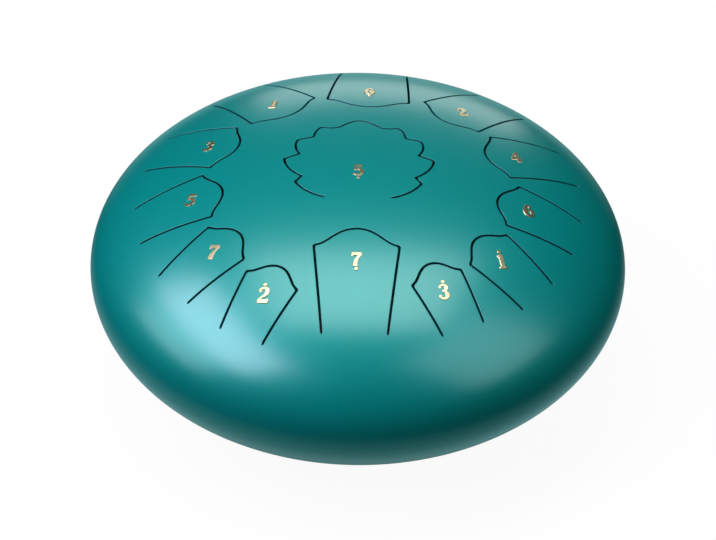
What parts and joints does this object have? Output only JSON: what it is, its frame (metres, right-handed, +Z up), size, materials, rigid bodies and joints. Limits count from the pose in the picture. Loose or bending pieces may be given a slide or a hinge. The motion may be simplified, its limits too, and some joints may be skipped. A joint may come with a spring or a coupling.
{
  "type": "tongue drum",
  "caption": "Steel tongue drum: two pressed bowls joined at the rim, the top slit into a ring of tongues and a lotus-shaped centre tongue, foil numerals, sound hole below, rubber feet.",
  "frame": {"origin": "centre of the drum on the plane that its feet stand on", "axes": "+Z up along the drum's axis, -Y towards the player (the side of the front low 7 tongue), +X to the player's right"},
  "size_m": [0.3, 0.3, 0.1341],
  "materials": {
    "teal_paint": "satin",
    "gold_foil": "mirror foil",
    "black_rubber": "matte",
    "zinc_plate": "bright zinc plate"
  },
  "bodies": {
    "root": {"upper_shell": "teal_paint", "lower_shell": "teal_paint", "numeral_low_5": "gold_foil", "numeral_low_6": "gold_foil", "numeral_low_7": "gold_foil", "numeral_mid_1": "gold_foil", "numeral_mid_2": "gold_foil", "numeral_mid_3": "gold_foil", "numeral_mid_4": "gold_foil", "numeral_mid_5": "gold_foil", "numeral_mid_6": "gold_foil", "numeral_mid_7": "gold_foil", "numeral_high_1": "gold_foil", "numeral_high_2": "gold_foil", "numeral_high_3": "gold_foil", "dot_low_5": "gold_foil", "dot_low_6": "gold_foil", "dot_low_7": "gold_foil", "dot_high_1": "gold_foil", "dot_high_2": "gold_foil", "dot_high_3": "gold_foil", "foot_1": "black_rubber", "foot_2": "black_rubber", "foot_3": "black_rubber", "foot_4": "black_rubber", "foot_screw_1": "zinc_plate", "foot_screw_2": "zinc_plate", "foot_screw_3": "zinc_plate", "foot_screw_4": "zinc_plate", "foot_washer_1": "zinc_plate", "foot_washer_2": "zinc_plate", "foot_washer_3": "zinc_plate", "foot_washer_4": "zinc_plate", "foot_nut_1": "zinc_plate", "foot_nut_2": "zinc_plate", "foot_nut_3": "zinc_plate", "foot_nut_4": "zinc_plate"}
  },
  "joints": []
}
